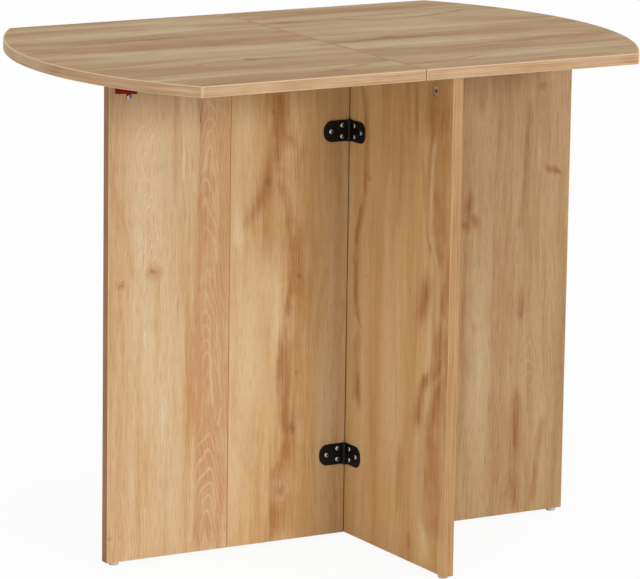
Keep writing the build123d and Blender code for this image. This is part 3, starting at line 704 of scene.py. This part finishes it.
def screw_tree():
    """The node group that makes one screw and sets it on every seat, square to the seat's facing."""
    made = bpy.data.node_groups.new("pan_head_screws", "GeometryNodeTree")
    face = made.interface
    face.new_socket("Seats", in_out="INPUT", socket_type="NodeSocketGeometry")
    for name in SCREW_SIZES:
        face.new_socket(name, in_out="INPUT", socket_type="NodeSocketFloat")
    face.new_socket("Seed", in_out="INPUT", socket_type="NodeSocketInt")
    face.new_socket("Finish", in_out="INPUT", socket_type="NodeSocketMaterial")
    face.new_socket("Screws", in_out="OUTPUT", socket_type="NodeSocketGeometry")
    given = add(made, "NodeGroupInput").node.outputs
    radius, height, length = given["Head Radius"], given["Head Height"], given["Screw Length"]
    # The head is the upper half of a flattened ball with two crossed bars cut out of it.
    ball = add(made, "GeometryNodeMeshUVSphere", {"Segments": 32, "Rings": 16, "Radius": 1.0})
    ball = add(made, MOVE, {"Geometry": ball, "Scale": add(made, COMBINE, (radius, radius, height))})
    below = add(made, MATH, (height, -1.0), operation="MULTIPLY")
    wide = add(made, MATH, (radius, 4.0), operation="MULTIPLY")
    tall = add(made, MATH, (height, 2.0), operation="MULTIPLY")
    block = add(made, CUBE, {"Size": add(made, COMBINE, (1.0, 1.0, 1.0))})
    block = add(made, MOVE, {"Geometry": block, "Translation": add(made, COMBINE, (0.0, 0.0, below)),
                             "Scale": add(made, COMBINE, (wide, wide, tall))})
    deep = add(made, MATH, (given["Recess Depth"], 2.0), operation="MULTIPLY")
    span, width = given["Recess Span"], given["Recess Width"]
    crown = add(made, COMBINE, (0.0, 0.0, height))
    bars = []
    for x_size, y_size in ((span, width), (width, span)):
        bar = add(made, CUBE, {"Size": add(made, COMBINE, (x_size, y_size, deep))})
        bars.append(add(made, MOVE, {"Geometry": bar, "Translation": crown}))
    head = add(made, CARVE, {"Mesh 1": ball, "Mesh 2": [block, *bars]}, operation="DIFFERENCE")
    # The shank tapers to its tip and reaches a little way up into the head.
    shank = add(made, "GeometryNodeMeshCone", {
        "Vertices": 24, "Depth": length,
        "Radius Top": given["Shank Radius"], "Radius Bottom": given["Tip Radius"],
    })
    rooted = add(made, MATH, (length, -1.0), operation="MULTIPLY")
    rooted = add(made, MATH, (height, 0.2, rooted), operation="MULTIPLY_ADD")
    shank = add(made, MOVE, {"Geometry": shank, "Translation": add(made, COMBINE, (0.0, 0.0, rooted))})
    screw = add(made, CARVE, {"Mesh 2": [head, shank]}, operation="UNION")
    facing = add(made, "GeometryNodeInputNamedAttribute", {"Name": "facing"}, data_type="FLOAT_VECTOR")
    turned = add(made, "FunctionNodeAlignRotationToVector", {"Vector": facing}, axis="Z")
    # The sockets 2 and 3 of a random value and its output 1 are those for a plain number.
    spin = add(made, "FunctionNodeRandomValue", {2: 0.0, 3: math.pi, "Seed": given["Seed"]}, out=1,
               data_type="FLOAT")
    spin = add(made, "FunctionNodeEulerToRotation", (add(made, COMBINE, (0.0, 0.0, spin)),))
    turned = add(made, "FunctionNodeRotateRotation", {"Rotation": turned, "Rotate By": spin},
                 rotation_space="LOCAL")
    driven = add(made, "GeometryNodeInstanceOnPoints", {
        "Points": given["Seats"], "Instance": screw, "Rotation": turned,
    })
    driven = add(made, "GeometryNodeRealizeInstances", {"Geometry": driven})
    driven = add(made, "GeometryNodeSetMaterial", {"Geometry": driven, "Material": given["Finish"]})
    add(made, "NodeGroupOutput", {"Screws": driven})
    return made


pan_screws = screw_tree()
screw_socket = {item.name: item.identifier for item in pan_screws.interface.items_tree}

LEFT = Vector((-1, 0, 0))
RIGHT = Vector((1, 0, 0))
FRONT = Vector((0, -1, 0))
BACK = Vector((0, 1, 0))
DOWN = Vector((0, 0, -1))


def pin_middles(hinge, places):
    """The middles of a kind of hinge's pins."""
    pins = [f"{place}_{hinge}_hinge_pin" for place in places]
    return [Vector([middle(pin, axis) for axis in "XYZ"]) for pin in pins]


GATE_PINS = pin_middles("gate", ("upper", "lower"))
FOLD_PINS = pin_middles("fold", ("upper", "lower"))
LEAF_PINS = pin_middles("leaf", ("front", "rear"))
CAP_SEAT = Vector((middle("gate_rest_cap_screw", "X"), extent("gate_rest_cap", "Y")[0],
                   middle("gate_rest_cap_screw", "Z")))

# Seats on a hinge plate: their depth below the pin, and their places out from it and along it
SEAT_DEPTH = 1.9
SCREW_PLACES = [(10.5, -8.2), (10.5, 8.2), (29.2, 0.0)]


def plate_seats(pins, along, outward):
    """Screw seats on hinge plates that run along one way from their pins and face outward."""
    pin_line = along.cross(outward)
    return [(pin + along * reach + pin_line * spread - outward * SEAT_DEPTH, outward)
            for pin in pins for reach, spread in SCREW_PLACES]


def drive_screws(body, seats, seed, *nodes):
    """One mesh of screws for a body, in place of its CAD screws."""
    points = bpy.data.meshes.new("screw_seats")
    points.from_pydata([seat * MM for seat, _ in seats], [], [])
    facing = points.attributes.new("facing", "FLOAT_VECTOR", "POINT")
    for entry, (_, outward) in zip(facing.data, seats):
        entry.vector = outward
    screws = bpy.data.objects.new(f"{body}_pan_head_screws", points)
    bpy.context.collection.objects.link(screws)
    driver = screws.modifiers.new("pan_head_screws", "NODES")
    driver.node_group = pan_screws
    for name, value in {**SCREW_SIZES, "Seed": seed, "Finish": bright_zinc}.items():
        driver[screw_socket[name]] = value
    graph = bpy.context.evaluated_depsgraph_get()
    finished = bpy.data.meshes.new_from_object(screws.evaluated_get(graph), depsgraph=graph)
    screws.modifiers.clear()
    screws.data = finished
    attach(screws, body)
    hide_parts(*nodes)


drive_screws("frame", plate_seats(GATE_PINS, FRONT, LEFT) + plate_seats(LEAF_PINS, RIGHT, DOWN), 3,
             "cross_panel_hinge_screws", "fixed_top_hinge_screws")
drive_screws("gate_inner", plate_seats(GATE_PINS, LEFT, FRONT) + plate_seats(FOLD_PINS, RIGHT, BACK), 5,
             "gate_inner_front_hinge_screws", "gate_inner_rear_hinge_screws")
drive_screws("gate_outer", plate_seats(FOLD_PINS, LEFT, BACK) + [(CAP_SEAT, FRONT)], 7,
             "gate_outer_hinge_screws", "gate_rest_cap_screw")
drive_screws("drop_leaf", plate_seats(LEAF_PINS, LEFT, DOWN), 11, "drop_leaf_hinge_screws")
